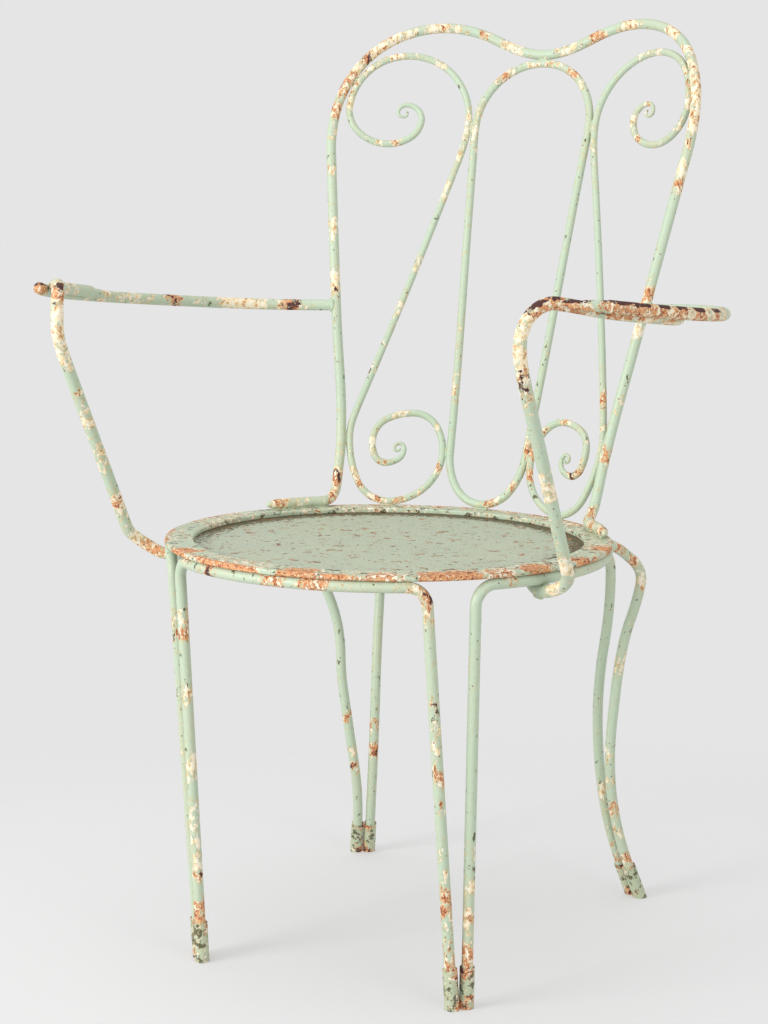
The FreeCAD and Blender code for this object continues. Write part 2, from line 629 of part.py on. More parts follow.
loop_side = (size("loop_bar") + size("scroll_bar")) / 2 + size("weld_gap")
frame_side = (size("frame_bar") + size("scroll_bar")) / 2 + size("weld_gap")
coil_side = (size("frame_bar") + size("scroll_bar")) / 2 + size("upper_coil_gap")
upper_half, upper_rise = beside(size("loop_wide_half"), size("upper_weld_rise"), 0, 1, loop_side)
wide_half, ignored = beside(size("frame_wide_half"), size("frame_wide_rise"), 0, 1, -coil_side)
weld_half, weld_rise = beside(size("frame_low_half"), size("frame_weld_rise"), low_slope, 1,
                              -frame_side)
low_half, low_rise = beside(size("loop_low_half"), size("loop_weld_rise"), loop_slope, 1,
                            loop_side)
wide_rise = size("frame_wide_rise") + size("upper_coil_lift")
coil_top_half = size("hump_half") + size("upper_coil_top_step")
inner_rise = wide_rise - size("upper_inner_pitch")
inner_half = wide_half - size("upper_curl_inset")
curl_rise = inner_rise + size("upper_curl_rise")
curl_top = curl_rise + size("upper_curl_height")
curl_half = inner_half + size("upper_curl_width") - size("upper_curl_radius")
shank_top = upper_half + size("shank_top_offset")
shank_end = weld_half - size("shank_end_offset")
shank_slope = (shank_end - shank_top) / (size("shank_top_rise") - size("shank_end_rise"))
turn_half = weld_half - size("lower_inner_step")
end_half = turn_half - size("lower_curl_step")
end_rise = size("lower_inner_bottom") + size("lower_curl_rise")
end_top = end_rise + size("lower_curl_height")
end_top_half = end_half + size("lower_curl_width") - size("lower_curl_radius")
inner_bottom = back_station((turn_half + end_half) / 2, size("lower_inner_bottom"), -1, 0)
scroll_stations = [
    back_station(inner_half, curl_rise, 0, -1),
    back_station(wide_half - size("upper_inner_inset"), inner_rise, 1, 0),
    back_station(wide_half, wide_rise, 0, 1),
    back_station(coil_top_half, size("hump_rise") - size("upper_coil_drop"), -1, 0),
    back_station(upper_half, upper_rise, 0, -1),
    back_station(shank_top, size("shank_top_rise"), shank_slope, -1),
    back_station(shank_end, size("shank_end_rise"), shank_slope, -1),
    back_station(weld_half, weld_rise, -low_slope, -1),
    back_station((weld_half + low_half) / 2, size("scroll_bar") / 2 + size("weld_gap"), -1, 0),
    back_station(low_half, low_rise, loop_slope, 1),
    back_station((low_half + turn_half) / 2, size("lower_inner_rise"), 1, 0),
    back_station(turn_half, weld_rise, 0, -1),
    inner_bottom,
]


def curl(half, rise, radius, tightening, quarters):
    """Stations of a curl from its top: each quarter turn is tighter than the one before."""
    stations = [back_station(half, rise, 1, 0)]
    across, up = 1, 0
    for quarter in range(quarters):
        half += (across + up) * radius
        rise += (up - across) * radius
        across, up = up, -across
        radius -= tightening
        stations.append(back_station(half, rise, across, up))
    return stations


upper_curl = [back_station(inner_half, curl_rise, 0, 1)]
upper_curl += curl(curl_half, curl_top, size("upper_curl_radius"),
                   size("upper_curl_tightening"), 4)
lower_curl = [inner_bottom, back_station(end_half, end_rise, 0, 1)]
lower_curl += curl(end_top_half, end_top, size("lower_curl_radius"),
                   size("lower_curl_tightening"), 3)
scroll = doc.addObject("Part::MultiFuse", "scroll_left_whole")
scroll.Shapes = [
    bar("scroll_left", scroll_stations, "scroll_bar"),
    rounded_end("upper_curl", bar("upper_curl", upper_curl, "scroll_bar", "curl_tip_bar"),
                upper_curl[-1][0], "curl_tip_bar"),
    rounded_end("lower_curl", bar("lower_curl", lower_curl, "scroll_bar", "curl_tip_bar"),
                lower_curl[-1][0], "curl_tip_bar"),
]
scroll_left = keep("scroll_left", scroll)
keep("scroll_right", mirrored("scroll_right", scroll_left))

# Arms: a long bow from its free tip round to the upright of the back, and the bar under it,
# which hooks under the seat, leans forwards, bends back and lies along the bow's inner side.
# The two arms were bent by hand and differ. Both are laid out on the sitter's left.

bow_centre = vec(0, -size("arm_bow_forward"), 0)
lap_reach = (size("arm_bar") + size("support_bar")) / 2 + size("weld_gap")
hook_at = -size("hook_angle")
hook_low = hoop_height - (size("leg_bar") + size("support_bar")) / 2 - size("weld_gap")
under_panel = size("seat_height") - size("rim_thickness") - size("panel_thickness")
hook_out = polar(size("rim_radius") + size("hook_reach"), hook_at, size("hook_out_height"))
straight_low = vec(size("support_half"), -size("support_low_forward"), size("support_low_height"))
straight_high = vec(size("support_half"), -size("support_high_forward"),
                    size("support_high_height"))
straight = unit(straight_high - straight_low)


def arm(side):
    """The bow and the support of one side."""
    front_run = math.radians(size(side + "_tip_angle")) * size("arm_bow_radius")
    rear_run = math.radians(size("arm_knee_angle")) * size("arm_bow_radius")
    side_height = size(side + "_side_height")
    front_fall = (side_height - size(side + "_tip_height")) / front_run
    rear_fall = (size(side + "_knee_height") - side_height) / rear_run
    side_fall = (front_fall * rear_run + rear_fall * front_run) / (front_run + rear_run)
    change = (rear_fall - front_fall) / (front_run + rear_run)

    def bow_station(degrees):
        """A station of the bow, whose height follows a smooth curve through its three heights."""
        run = math.radians(degrees) * size("arm_bow_radius")
        height = side_height + side_fall * run + change * run * run
        return (bow_centre + polar(size("arm_bow_radius"), degrees, height),
                unit(around(degrees) + vec(0, 0, side_fall + 2 * change * run)))

    roll = math.radians(size(side + "_lap_roll"))

    def lap_station(degrees):
        place, heading = bow_station(degrees)
        inwards = polar(-1, degrees, 0)
        up = unit(heading.cross(inwards))
        return place + (inwards * math.cos(roll) + up * math.sin(roll)) * lap_reach, heading

    tip = bow_station(-size(side + "_tip_angle"))
    knee = bow_station(size("arm_knee_angle"))
    weld, upright = upright_station(size(side + "_weld_rise"))
    chord = unit(weld - knee[0])
    arrival = chord * (2 * knee[1].dot(chord)) - knee[1]
    last = weld - arrival * (size("frame_bar") / 4)
    starts, ends = -size(side + "_lap_start"), -size("lap_end_angle")
    bow_stations = [tip, bow_station(starts), bow_station(ends), bow_station(0), knee,
                    (last, arrival)]
    bow = bar("arm_bow_" + side, bow_stations, "arm_bar")
    bow = rounded_end("arm_bow_" + side, bow, tip[0], "arm_bar")
    saddle = doc.addObject("Part::Cylinder", "arm_saddle_" + side)
    saddle.setExpression("Radius", "sizes.frame_bar / 2 + sizes.weld_gap")
    saddle.setExpression("Height", "sizes.arm_bar * 4")
    saddle.Placement = FreeCAD.Placement(
        weld - upright * (size("arm_bar") * 2),
        FreeCAD.Rotation(arrival, vec(0, 0, 0), upright, "ZXY"))
    bow_cut = doc.addObject("Part::Cut", "arm_bow_cut_" + side)
    bow_cut.Base = bow
    bow_cut.Tool = saddle

    lap = [lap_station(a) for a in (starts, (starts + ends) / 2, ends)]
    level_out = bow_centre + polar(size("arm_bow_radius") - size("support_top_inset"),
                                   -size("support_top_angle"), size("support_top_height"))
    support_stations = [
        (polar(size("rim_radius") - size("hook_inset"), hook_at, under_panel), vec(0, 0, -1)),
        (polar(hoop_radius, hook_at, hook_low), polar(1, hook_at, 0)),
        (hook_out, None),
        (straight_low, straight),
        (straight_high, straight),
        (vec(size("support_half"), -size("support_front"), size("support_front_height")),
         vec(0, 0, 1)),
        (level_out, lap[0][0] - level_out),
    ] + lap
    support = bar("arm_support_" + side, support_stations, "support_bar")
    support = rounded_end("arm_support_" + side, support, lap[-1][0], "support_bar", lap[-1][1],
                          "lap_nose")
    return bow_cut, support


left_bow, left_support = arm("left")
right_bow, right_support = arm("right")
keep("arm_bow_left", left_bow)
keep("arm_bow_right", mirrored("arm_bow_right", right_bow))
keep("arm_support_left", left_support)
keep("arm_support_right", mirrored("arm_support_right", right_support))

# The origin: the middle of the chair's whole depth. Mirrored pieces move with their sources.

doc.recompute()
boxes = [piece.Shape.optimalBoundingBox(False) for piece in pieces]
middle = (min(box.YMin for box in boxes) + max(box.YMax for box in boxes)) / 2
for piece in pieces:
    source = piece.Source if piece.TypeId == "Part::Mirroring" else piece
    source.Placement = FreeCAD.Placement(vec(0, -middle, 0), FreeCAD.Rotation())
doc.recompute()
print("seat axis at y %.3f" % -middle)

for item in doc.Objects:
    if "Invalid" in item.State or "Error" in item.State:
        raise RuntimeError("failed: " + item.Label + " " + str(item.State))
for piece in pieces:
    if piece.Shape.isNull() or not piece.Shape.isValid():
        raise RuntimeError("bad shape: " + piece.Label)
    if len(piece.Shape.Solids) != 1:
        raise RuntimeError("not one solid: " + piece.Label)

os.makedirs("parts", exist_ok=True)
for piece in pieces:
    piece.Shape.exportStep("parts/" + piece.Label + ".step")
    box = piece.Shape.optimalBoundingBox(False)
    print("%-22s %9.1f mm3  x %7.1f %7.1f  y %7.1f %7.1f  z %7.1f %7.1f" % (
        piece.Label, piece.Shape.Volume, box.XMin, box.XMax, box.YMin, box.YMax,
        box.ZMin, box.ZMax))
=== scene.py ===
import math

import bpy
from mathutils import Matrix, Vector
from mathutils.bvhtree import BVHTree
from mathutils.kdtree import KDTree


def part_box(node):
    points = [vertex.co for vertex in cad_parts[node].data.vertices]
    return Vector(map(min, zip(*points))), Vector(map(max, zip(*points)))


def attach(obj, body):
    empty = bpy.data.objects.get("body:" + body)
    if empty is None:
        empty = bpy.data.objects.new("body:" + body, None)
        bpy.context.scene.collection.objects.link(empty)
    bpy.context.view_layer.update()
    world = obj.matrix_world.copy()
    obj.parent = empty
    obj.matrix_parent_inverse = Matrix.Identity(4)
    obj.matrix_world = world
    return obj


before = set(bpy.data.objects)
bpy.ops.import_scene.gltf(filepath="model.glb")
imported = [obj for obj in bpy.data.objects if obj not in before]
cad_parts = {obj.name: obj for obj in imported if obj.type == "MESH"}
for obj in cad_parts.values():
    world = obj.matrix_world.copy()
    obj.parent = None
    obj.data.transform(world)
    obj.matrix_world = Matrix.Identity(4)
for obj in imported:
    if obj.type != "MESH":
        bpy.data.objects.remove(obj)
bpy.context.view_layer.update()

# Garden armchair of bent and welded round bar, old painted. Metres, the same frame as the solids.

MM = 0.001
scene = bpy.context.scene
scene.view_settings.view_transform = "Standard"


def linear(hex_colour):
    """An sRGB hex colour as linear red, green, blue and alpha."""
    values = [int(hex_colour[i:i + 2], 16) / 255 for i in (1, 3, 5)]
    return [v / 12.92 if v <= 0.04045 else ((v + 0.055) / 1.055) ** 2.4 for v in values] + [1]


def add(tree, kind, inputs=(), **settings):
    """A node with its settings, whose inputs are values or the sockets they are linked to."""
    item = tree.nodes.new(kind)
    for key, value in settings.items():
        setattr(item, key, value)
    for key, value in dict(inputs).items():
        if isinstance(value, bpy.types.NodeSocket):
            tree.links.new(value, item.inputs[key])
        else:
            item.inputs[key].default_value = value
    return item


# Camera: to the chair's front left, a little above its arms.

camera_data = bpy.data.cameras.new("camera")
camera_data.lens = 78.73
camera_data.sensor_width = 36
camera = bpy.data.objects.new("camera", camera_data)
scene.collection.objects.link(camera)
scene.camera = camera
HEADING, DOWN, ROLL = 26.973, 8.569, 0.576
camera.matrix_world = (Matrix.Translation((0.9167, -1.8769, 0.7188))
                       @ Matrix.Rotation(math.radians(HEADING), 4, "Z")
                       @ Matrix.Rotation(math.radians(90 - DOWN), 4, "X")
                       @ Matrix.Rotation(math.radians(ROLL), 4, "Z"))

# Studio: soft light all round, a large lamp from the left, one overhead and a weak one right.

WALL = "#E5E5E5"
world = bpy.data.worlds.new("studio")
scene.world = world
world.use_nodes = True
sky = world.node_tree
sky.nodes.clear()
seen = add(sky, "ShaderNodeLightPath")
seen_or_mirrored = add(sky, "ShaderNodeMath", {
    0: seen.outputs["Is Camera Ray"], 1: seen.outputs["Is Glossy Ray"]}, operation="MAXIMUM")
shown = add(sky, "ShaderNodeMath", {
    0: seen_or_mirrored.outputs[0], 1: seen.outputs["Is Transmission Ray"]}, operation="MAXIMUM")
soft_light = add(sky, "ShaderNodeBackground", {"Color": (1, 1, 1, 1), "Strength": 0.66})
backdrop = add(sky, "ShaderNodeBackground", {"Color": linear(WALL), "Strength": 1.0})
either = add(sky, "ShaderNodeMixShader", {
    0: shown.outputs[0], 1: soft_light.outputs[0], 2: backdrop.outputs[0]})
add(sky, "ShaderNodeOutputWorld", {"Surface": either.outputs[0]})


def lamp(name, place, aim, width, watts):
    """A square soft lamp at a place, turned to its aim."""
    data = bpy.data.lights.new(name, "AREA")
    data.size = width
    data.energy = watts
    item = bpy.data.objects.new(name, data)
    item.matrix_world = Matrix.Translation(place) @ (
        Vector(aim) - Vector(place)).to_track_quat("-Z", "Y").to_matrix().to_4x4()
    scene.collection.objects.link(item)


lamp("softbox_left", (-1.3, -2.3, 1.0), (0, 0, 0.35), 1.1, 53)
lamp("softbox_top", (-0.3, -0.4, 2.9), (0, 0, 0.4), 1.8, 15)
lamp("softbox_right", (2.2, -1.3, 1.0), (0, 0, 0.4), 0.9, 14)


# Floor: a thin pale paper sheet, half see-through, that fades into the wall's colour all round.

def new_material(name):
    """A material with an empty tree, and the tree."""
    material = bpy.data.materials.new(name)
    material.use_nodes = True
    material.node_tree.nodes.clear()
    return material, material.node_tree


def floor_paper():
    """Matt paper, which lets the backdrop through more and more away from the chair."""
    material, tree = new_material("pale_floor_paper")
    place = add(tree, "ShaderNodeTexCoord").outputs["Object"]
    away = add(tree, "ShaderNodeVectorMath", {0: place}, operation="LENGTH")
    fade = add(tree, "ShaderNodeMapRange", {
        "Value": away.outputs["Value"], "From Min": 0.38, "From Max": 0.95,
        "To Min": 0.52, "To Max": 1.0}, interpolation_type="SMOOTHSTEP")
    paper = add(tree, "ShaderNodeBsdfDiffuse", {"Color": linear("#E6E6E6")})
    nothing = add(tree, "ShaderNodeBsdfTransparent")
    mix = add(tree, "ShaderNodeMixShader", {
        0: fade.outputs[0], 1: paper.outputs[0], 2: nothing.outputs[0]})
    add(tree, "ShaderNodeOutputMaterial", {"Surface": mix.outputs[0]})
    return material


floor_mesh = bpy.data.meshes.new("floor")
FLOOR_SIDES = 64
UNDER_FEET = -0.4 * MM
floor_rim = [(math.cos(math.tau * i / FLOOR_SIDES), math.sin(math.tau * i / FLOOR_SIDES),
              UNDER_FEET) for i in range(FLOOR_SIDES)]
floor_mesh.from_pydata(floor_rim, [], [tuple(range(FLOOR_SIDES))])
floor = bpy.data.objects.new("floor", floor_mesh)
floor.data.materials.append(floor_paper())
scene.collection.objects.link(floor)

# Wear. Each kind says how far the coat has chipped to the primer, how far the iron there has
# rusted, and how dark and bare it is, from 0 to about 1. Worn places are bare only on top,
# where hands and arms rub. A place is x, y, z and radius, in millimetres.

KINDS = {
    "thin": (0.5, 0.1, 0), "chipped": (0.75, 0, 0), "cream": (0.95, 0.15, 0),
    "flecked": (0.9, 0.38, 0), "peeled": (1.2, 0.5, 0),
    "rusted": (1.2, 1, 0), "crusted": (1.3, 1.15, 0.35), "scabbed": (1.2, 1.1, 0.7),
    "grimy": (0.8, 0.6, 0.5), "bare": (1.3, 1, 1), "worn": (1.2, 1.1, 0)}

BACK_WEAR = {
    "chipped": [(-129, 241, 840, 6), (133, 240, 840, 7), (-107, 248, 833, 8),
        (-10, 267, 831, 7), (-53, 252, 800, 7), (-57, 248, 789, 16), (-68, 240, 771, 18),
        (72, 238, 765, 5), (-60, 235, 750, 10), (74, 232, 748, 7), (-71, 229, 740, 10),
        (-97, 187, 631, 10), (-108, 166, 583, 8)],
    "cream": [(-92, 263, 869, 9), (-139, 245, 863, 8), (-34, 270, 849, 12), (25, 270, 845, 14),
        (19, 266, 830, 7), (-165, 219, 829, 7), (180, 189, 770, 7), (-151, 199, 751, 6),
        (191, 165, 726, 9), (-80, 215, 702, 8), (-177, 151, 665, 11), (165, 129, 574, 10),
        (-44, 168, 514, 8), (-55, 150, 466, 7)],
    "flecked": [(-145, 233, 839, 9), (116, 246, 836, 8), (5, 267, 832, 8), (49, 257, 812, 7),
        (185, 196, 798, 8), (-181, 194, 789, 9), (118, 225, 774, 8), (-192, 176, 762, 6),
        (-167, 139, 610, 12), (-92, 141, 480, 8), (-113, 120, 451, 8), (-64, 125, 403, 8)],
    "rusted": [(-64, 269, 862, 7), (59, 269, 858, 11), (182, 202, 808, 6), (-189, 194, 803, 7),
        (-192, 185, 785, 9), (126, 216, 757, 6), (-136, 208, 751, 7), (189, 162, 712, 8),
        (171, 137, 608, 10), (-43, 164, 499, 8), (85, 145, 481, 6), (145, 103, 456, 9),
        (113, 117, 438, 6), (-99, 121, 432, 6), (-48, 139, 427, 7), (-121, 102, 416, 7),
        (34, 137, 414, 8), (141, 80, 402, 10), (-137, 80, 401, 9), (14, 133, 397, 9),
        (-169, 29, 396, 9), (-81, 115, 396, 9), (171, 31, 396, 9)],
    "crusted": [(36, 263, 823, 8), (-39, 260, 818, 10), (130, 131, 508, 9), (52, 146, 450, 10),
        (52, 138, 427, 9), (154, 55, 396, 10)],
    "scabbed": [(-174, 216, 836, 8), (-186, 200, 813, 8), (134, 225, 790, 5),
        (-122, 139, 524, 8), (103, 120, 432, 8), (-138, 90, 416, 9), (-100, 106, 396, 8)],
    "bare": [(196, 170, 752, 4), (-165, 135, 604, 4), (-115, 150, 552, 4), (137, 117, 483, 4),
        (61, 149, 468, 4)],
    "thin": [(92, 249, 819, 6), (150, 201, 750, 7), (-113, 158, 564, 7), (-153, 122, 532, 8),
        (153, 116, 507, 10), (-156, 48, 396, 8)],
    "grimy": [(-187, 165, 722, 7), (170, 33, 396, 13)],
    "peeled": [(-109, 259, 869, 12), (93, 264, 868, 13), (151, 238, 859, 9),
        (-155, 234, 855, 18), (-169, 221, 842, 10), (174, 219, 841, 9), (-181, 207, 825, 8),
        (185, 205, 824, 11), (191, 196, 809, 11), (194, 189, 797, 14), (196, 184, 786, 12),
        (197, 180, 775, 15)],
}
ARM_WEAR = {
    "chipped": [(-292, -15, 595, 8), (-215, -271, 563, 15), (220, -257, 538, 6),
        (-215, -238, 507, 9), (-215, -215, 468, 10)],
    "cream": [(-241, -254, 620, 12), (-273, -184, 617, 9), (284, -173, 608, 12),
        (-300, -115, 603, 6), (-219, -272, 600, 11), (-296, -35, 597, 11),
        (-216, -278, 592, 10), (221, -279, 589, 10), (-230, 99, 587, 8), (220, -216, 468, 14),
        (-215, -209, 458, 7), (220, -173, 396, 10)],
    "flecked": [(-256, -240, 620, 10), (258, -226, 615, 10), (273, -204, 611, 11),
        (225, -272, 611, 11), (-219, -272, 608, 9), (291, -141, 605, 11), (-301, -86, 601, 12),
        (221, -278, 598, 9), (-254, 73, 589, 13), (-243, 87, 588, 9), (220, -279, 580, 15),
        (-215, -277, 577, 12), (220, -273, 566, 9), (-215, -232, 497, 7), (-213, -162, 386, 7),
        (201, -152, 373, 8)],
    "rusted": [(232, -262, 619, 9), (242, -247, 619, 9), (274, -226, 618, 9),
        (253, -233, 616, 9), (281, -209, 616, 9), (-268, -227, 614, 8), (292, -181, 613, 10),
        (-259, -247, 613, 9), (300, -149, 610, 10), (306, -102, 607, 10), (302, -39, 603, 8),
        (-215, -186, 419, 9), (-202, -152, 376, 14)],
    "crusted": [(-223, -268, 612, 9)],
    "scabbed": [(-283, 14, 593, 10), (-206, 117, 587, 13)],
    "bare": [(-279, -172, 618, 4), (-217, -276, 606, 5), (221, -273, 564, 4),
        (221, -272, 561, 4), (221, -269, 556, 4), (221, -267, 554, 4), (221, -264, 548, 4)],
    "thin": [(-281, -160, 611, 9), (-298, -133, 605, 8), (-300, -59, 599, 9),
        (-270, 44, 591, 8), (-190, 125, 587, 8)],
    "grimy": [(-215, -247, 522, 6)],
    "worn": [(232, -255, 620, 13), (240, -242, 619, 14), (-229, -260, 618, 7),
        (272, -221, 618, 10), (249, -230, 617, 14), (-259, -246, 617, 15), (277, -210, 616, 13),
        (-265, -233, 615, 11), (226, -264, 615, 12), (284, -193, 615, 13), (293, -165, 612, 12),
        (299, -139, 610, 13), (-289, -179, 609, 9), (303, -109, 607, 13), (304, -67, 605, 13),
        (280, 35, 600, 11)],
}
LEG_WEAR = {
    "chipped": [(123, -218, 256, 8), (123, -216, 242, 9), (144, -188, 147, 8),
        (126, -206, 146, 9), (-125, -202, 141, 17), (147, 133, 132, 8), (-125, -200, 118, 9),
        (-125, -198, 97, 8)],
    "cream": [(183, 106, 337, 9), (-126, -218, 330, 8), (-126, -212, 258, 9),
        (157, 124, 250, 9), (-126, -206, 189, 10), (126, -203, 123, 8), (-143, 137, 123, 7),
        (131, 154, 114, 8), (142, -186, 110, 9), (149, 153, 75, 9)],
    "flecked": [(172, -175, 381, 10), (113, -236, 378, 9), (120, -229, 355, 8),
        (148, 127, 158, 8), (141, -184, 83, 9), (127, -198, 82, 10)],
    "rusted": [(-9, -269, 381, 14), (33, -267, 381, 14), (169, 80, 372, 7), (180, 96, 358, 9),
        (-126, -217, 315, 9), (124, -213, 215, 8), (-144, 128, 161, 7), (127, -201, 102, 15),
        (147, 145, 98, 9), (140, -182, 50, 14), (-126, -194, 50, 14), (154, 165, 42, 9),
        (128, -194, 40, 8)],
    "scabbed": [(-80, -251, 381, 10), (-111, -233, 381, 8), (119, -231, 370, 9),
        (-124, 150, 151, 8), (-126, 152, 128, 7), (-126, 153, 122, 6), (-143, 142, 106, 7),
        (143, 172, 43, 7)],
    "bare": [(-143, -200, 306, 4), (123, -222, 278, 4), (126, -212, 189, 4),
        (-124, -199, 83, 5)],
    "thin": [(168, 118, 293, 9)],
    "grimy": [(-145, -199, 321, 9), (139, 167, 59, 7), (128, -196, 58, 9)],
}
RIM_WEAR = {
    "cream": [(122, 92, 387, 10), (-70, 121, 387, 9), (34, 131, 387, 9)],
    "flecked": [(85, -245, 387, 14), (163, -180, 387, 14), (-11, 133, 387, 8)],
    "rusted": [(17, -264, 387, 16), (122, -222, 387, 14), (182, -146, 387, 14)],
    "crusted": [(-120, -224, 387, 14), (142, -205, 387, 14), (197, -93, 387, 14),
        (195, -26, 387, 13)],
    "grimy": [(-98, 108, 387, 10), (-42, 129, 387, 10), (71, 120, 387, 9)],
}
FOOT_WEAR = {
    "scabbed": [(132, -183, 38, 11), (-132, -183, 38, 11), (148, 175, 38, 11),
        (-148, 175, 38, 11), (132, -180, 0, 12), (-132, -180, 0, 12), (155, 187, 0, 12),
        (-155, 187, 0, 12)],
}

SAGE = "#B9CAB2"
FADED = "#C0C9AE"
PRIMER = "#F1E9D6"
STAINED_PRIMER = "#EBD3A6"
ORANGE_RUST = "#D69365"
DEEP_RUST = "#9C5539"
BARE_IRON = "#553A38"
GRIME = "#7D7A4C"
LICHEN = "#5E5C40"
RUST_STAIN = "#C9B781"
PIN_RUST = "#74442F"
SHEET_GRIME = "#45452F"
SHEET_RUST = "#7A5035"
DIMPLE_PAINTED_SHADE = "#757A60"
PIT_RUST = "#7A5136"
PIT_DUST = "#B58A60"
SEAT_AXIS = (0, -65.4, 0)
PUSH = 28 * MM


def old_enamel(name, wear, chipped=0.0, rusted=0.0, grimy=0.0, coat=SAGE, grain=(1, 1, 1),
               rim_edge=False, dimpled=False):
    """Old brushed sage enamel over a cream primer on iron. It has a low, uneven gloss, chips
    with ragged edges down to the primer, rust in the middle of the chips, and grime.
    chipped, rusted and grimy say how bad it is all over, wear says where it is worse, grain
    squeezes or stretches the marks, rim_edge wears a rim's outer edge, and dimpled makes the
    pattern of the seat's sheet, with painted shade in its dimples, and grime at the rim's foot."""
    material, tree = new_material(name)
    place = add(tree, "ShaderNodeTexCoord").outputs["Object"]

    def noise(scale, detail=4.0, rough=0.55, shift=0.0):
        moved = add(tree, "ShaderNodeMapping", {
            "Vector": place, "Location": (shift, shift, 0), "Scale": grain})
        return add(tree, "ShaderNodeTexNoise", {
            "Vector": moved.outputs[0], "Scale": scale, "Detail": detail, "Roughness": rough})

    def ramp(value, low, high, to_low=0.0, to_high=1.0):
        return add(tree, "ShaderNodeMapRange", {
            "Value": value, "From Min": low, "From Max": high, "To Min": to_low,
            "To Max": to_high}, interpolation_type="SMOOTHSTEP").outputs[0]

    def maths(operation, a, b):
        return add(tree, "ShaderNodeMath", {0: a, 1: b}, operation=operation).outputs[0]

    def blend(share, a, b):
        return add(tree, "ShaderNodeMix", {0: share, 6: a, 7: b}, data_type="RGBA").outputs[2]

    # Ragged outlines: every place of wear is pushed about by a few millimetres, at most by
    # half of PUSH, in waves about 11 mm long.
    push = noise(90, 3.0).outputs["Color"]
    pushed = add(tree, "ShaderNodeVectorMath", {
        0: push, 1: [PUSH] * 3, 2: add(tree, "ShaderNodeVectorMath", {
            0: place, 1: [PUSH / 2] * 3}, operation="SUBTRACT").outputs[0]},
        operation="MULTIPLY_ADD").outputs[0]
    worst = (0, 0, 0)
    worn_top = 0.0
    for kind, places in wear.items():
        nearest = 1.0  # metres to the edge of the nearest place, at first further than any
        for x, y, z, radius in places:
            away = add(tree, "ShaderNodeVectorMath", {0: pushed, 1: (x * MM, y * MM, z * MM)},
                       operation="DISTANCE").outputs["Value"]
            nearest = maths("MINIMUM", nearest, maths("SUBTRACT", away, radius * MM))
        near = ramp(nearest, -0.006, 0.007, 1.0, 0.0)
        if kind == "worn":
            facing = add(tree, "ShaderNodeSeparateXYZ", {
                0: add(tree, "ShaderNodeNewGeometry").outputs["Normal"]}).outputs[2]
            worn_top = maths("MULTIPLY", near, ramp(facing, 0.1, 0.6, 0.0, 1.05))
        one = add(tree, "ShaderNodeVectorMath", {0: KINDS[kind], "Scale": near},
                  operation="SCALE")
        worst = add(tree, "ShaderNodeVectorMath", {0: worst, 1: one.outputs[0]},
                    operation="MAXIMUM").outputs[0]
    chip_wear, rust_wear, bare_wear = add(tree, "ShaderNodeSeparateXYZ", {0: worst}).outputs
    flat = add(tree, "ShaderNodeVectorMath", {
        0: place, 1: [v * MM for v in SEAT_AXIS]}, operation="SUBTRACT").outputs[0]
    flat = add(tree, "ShaderNodeVectorMath", {0: flat, 1: (1, 1, 0)}, operation="MULTIPLY")
    from_axis = add(tree, "ShaderNodeVectorMath", {0: flat.outputs[0]},
                    operation="LENGTH").outputs["Value"]

    # Patches about 60 mm, chips about 5 mm, rust about 4 mm, scabs about 7 mm and pitting
    # about 1 mm across.
    broad = noise(16, 3.0).outputs["Fac"]
    middle = noise(210, 6.0, 0.66, 0.31).outputs["Fac"]
    spread = noise(230, 5.0, 0.65, 0.73).outputs["Fac"]
    scab = noise(150, 4.0, 0.6, 0.53).outputs["Fac"]
    fine = noise(800, 3.0, 0.6, 0.17).outputs["Fac"]
    if rim_edge:
        edge = maths("MULTIPLY", ramp(from_axis, 0.198, 0.2045), ramp(broad, 0.46, 0.58))
        chip_wear = maths("MAXIMUM", chip_wear, edge)
        rust_wear = maths("MAXIMUM", rust_wear, edge)

    # Chips down to the primer where the noise stands above a level, rust further in.
    ragged = maths("ADD", maths("MULTIPLY", middle, 0.75), maths("MULTIPLY", fine, 0.25))
    broad_shift = maths("MULTIPLY", maths("SUBTRACT", broad, 0.5), 0.25)
    level = maths("SUBTRACT", maths("ADD", 0.67 - chipped * 0.1, maths(
        "MULTIPLY", chip_wear, -0.17)), broad_shift)
    above = maths("SUBTRACT", ragged, level)
    primer = ramp(above, 0.0, 0.018)
    rust_level = maths("ADD", 0.64 - rusted * 0.08, maths("MULTIPLY", rust_wear, -0.19))
    rust = maths("MULTIPLY", ramp(maths("SUBTRACT", spread, rust_level), 0.0, 0.03),
                 ramp(above, 0.004, 0.03))
    bare_wear = maths("MAXIMUM", bare_wear, worn_top)
    bare_level = maths("ADD", 0.72, maths("MULTIPLY", bare_wear, -0.3))
    bare = maths("MULTIPLY", ramp(maths("SUBTRACT", scab, bare_level), 0.0, 0.02),
                 ramp(above, 0.005, 0.03))

    # Pinholes of rust, in some cells of a pattern 4 mm wide.
    dots = add(tree, "ShaderNodeTexVoronoi", {"Vector": place, "Scale": 230})
    some = add(tree, "ShaderNodeSeparateColor", {0: dots.outputs["Color"]}).outputs[0]
    pin_rust = maths("MULTIPLY", ramp(dots.outputs["Distance"], 0.14, 0.24, 1.0, 0.0),
                     ramp(some, 0.87 - rusted * 0.1, 0.88 - rusted * 0.1))

